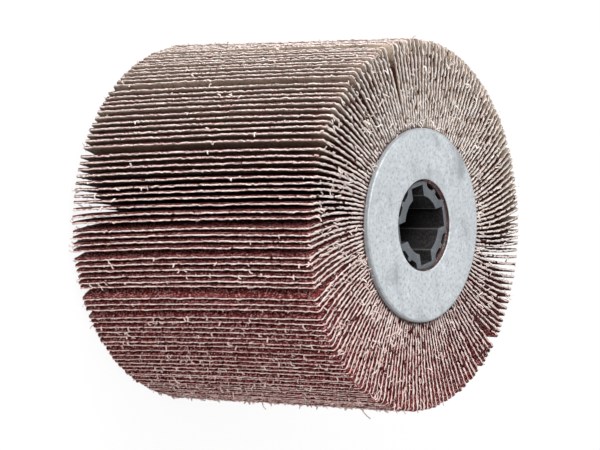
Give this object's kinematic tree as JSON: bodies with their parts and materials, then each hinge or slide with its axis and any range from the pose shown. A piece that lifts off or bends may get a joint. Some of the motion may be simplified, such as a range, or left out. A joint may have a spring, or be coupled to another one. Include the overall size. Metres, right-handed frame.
{
  "type": "flap wheel",
  "caption": "Drum of abrasive cloth flaps set edge-on round a resin core between two steel rings, with a keyed bore for a surface finishing machine.",
  "frame": {"origin": "centre of the rear ring's outer face, which the wheel stands on", "axes": "+Z along the bore's axis towards the front ring, +X through the middle of a keyway"},
  "size_m": [0.1208, 0.1204, 0.1],
  "materials": {
    "hub_plastic": "moulded, matt, dark grey",
    "core_resin": "cast resin, rough, red-brown",
    "ring_steel": "zinc plated, dull, finely mottled",
    "flap_cloth": "abrasive cloth: red-brown grain on one face, tan cloth on the other, pale frayed edges"
  },
  "bodies": {
    "root": {"keyed_hub": "hub_plastic", "resin_core": "core_resin", "front_ring": "ring_steel", "rear_ring": "ring_steel", "flaps_01": "flap_cloth", "flaps_02": "flap_cloth", "flaps_03": "flap_cloth", "flaps_04": "flap_cloth", "flaps_05": "flap_cloth", "flaps_06": "flap_cloth", "flaps_07": "flap_cloth", "flaps_08": "flap_cloth", "flaps_09": "flap_cloth", "flaps_10": "flap_cloth", "flaps_11": "flap_cloth", "flaps_12": "flap_cloth", "flaps_13": "flap_cloth", "flaps_14": "flap_cloth", "flaps_15": "flap_cloth", "flaps_16": "flap_cloth", "flaps_17": "flap_cloth", "flaps_18": "flap_cloth", "flaps_19": "flap_cloth", "flaps_20": "flap_cloth", "flaps_21": "flap_cloth", "flaps_22": "flap_cloth", "flaps_23": "flap_cloth", "flaps_24": "flap_cloth", "flaps_25": "flap_cloth", "flaps_26": "flap_cloth", "flaps_27": "flap_cloth", "flaps_28": "flap_cloth", "flaps_29": "flap_cloth", "flaps_30": "flap_cloth", "flaps_31": "flap_cloth", "flaps_32": "flap_cloth", "flaps_33": "flap_cloth", "flaps_34": "flap_cloth", "flaps_35": "flap_cloth", "flaps_36": "flap_cloth", "flaps_37": "flap_cloth", "flaps_38": "flap_cloth", "flaps_39": "flap_cloth", "flaps_40": "flap_cloth", "flaps_41": "flap_cloth", "flaps_42": "flap_cloth"}
  },
  "joints": []
}
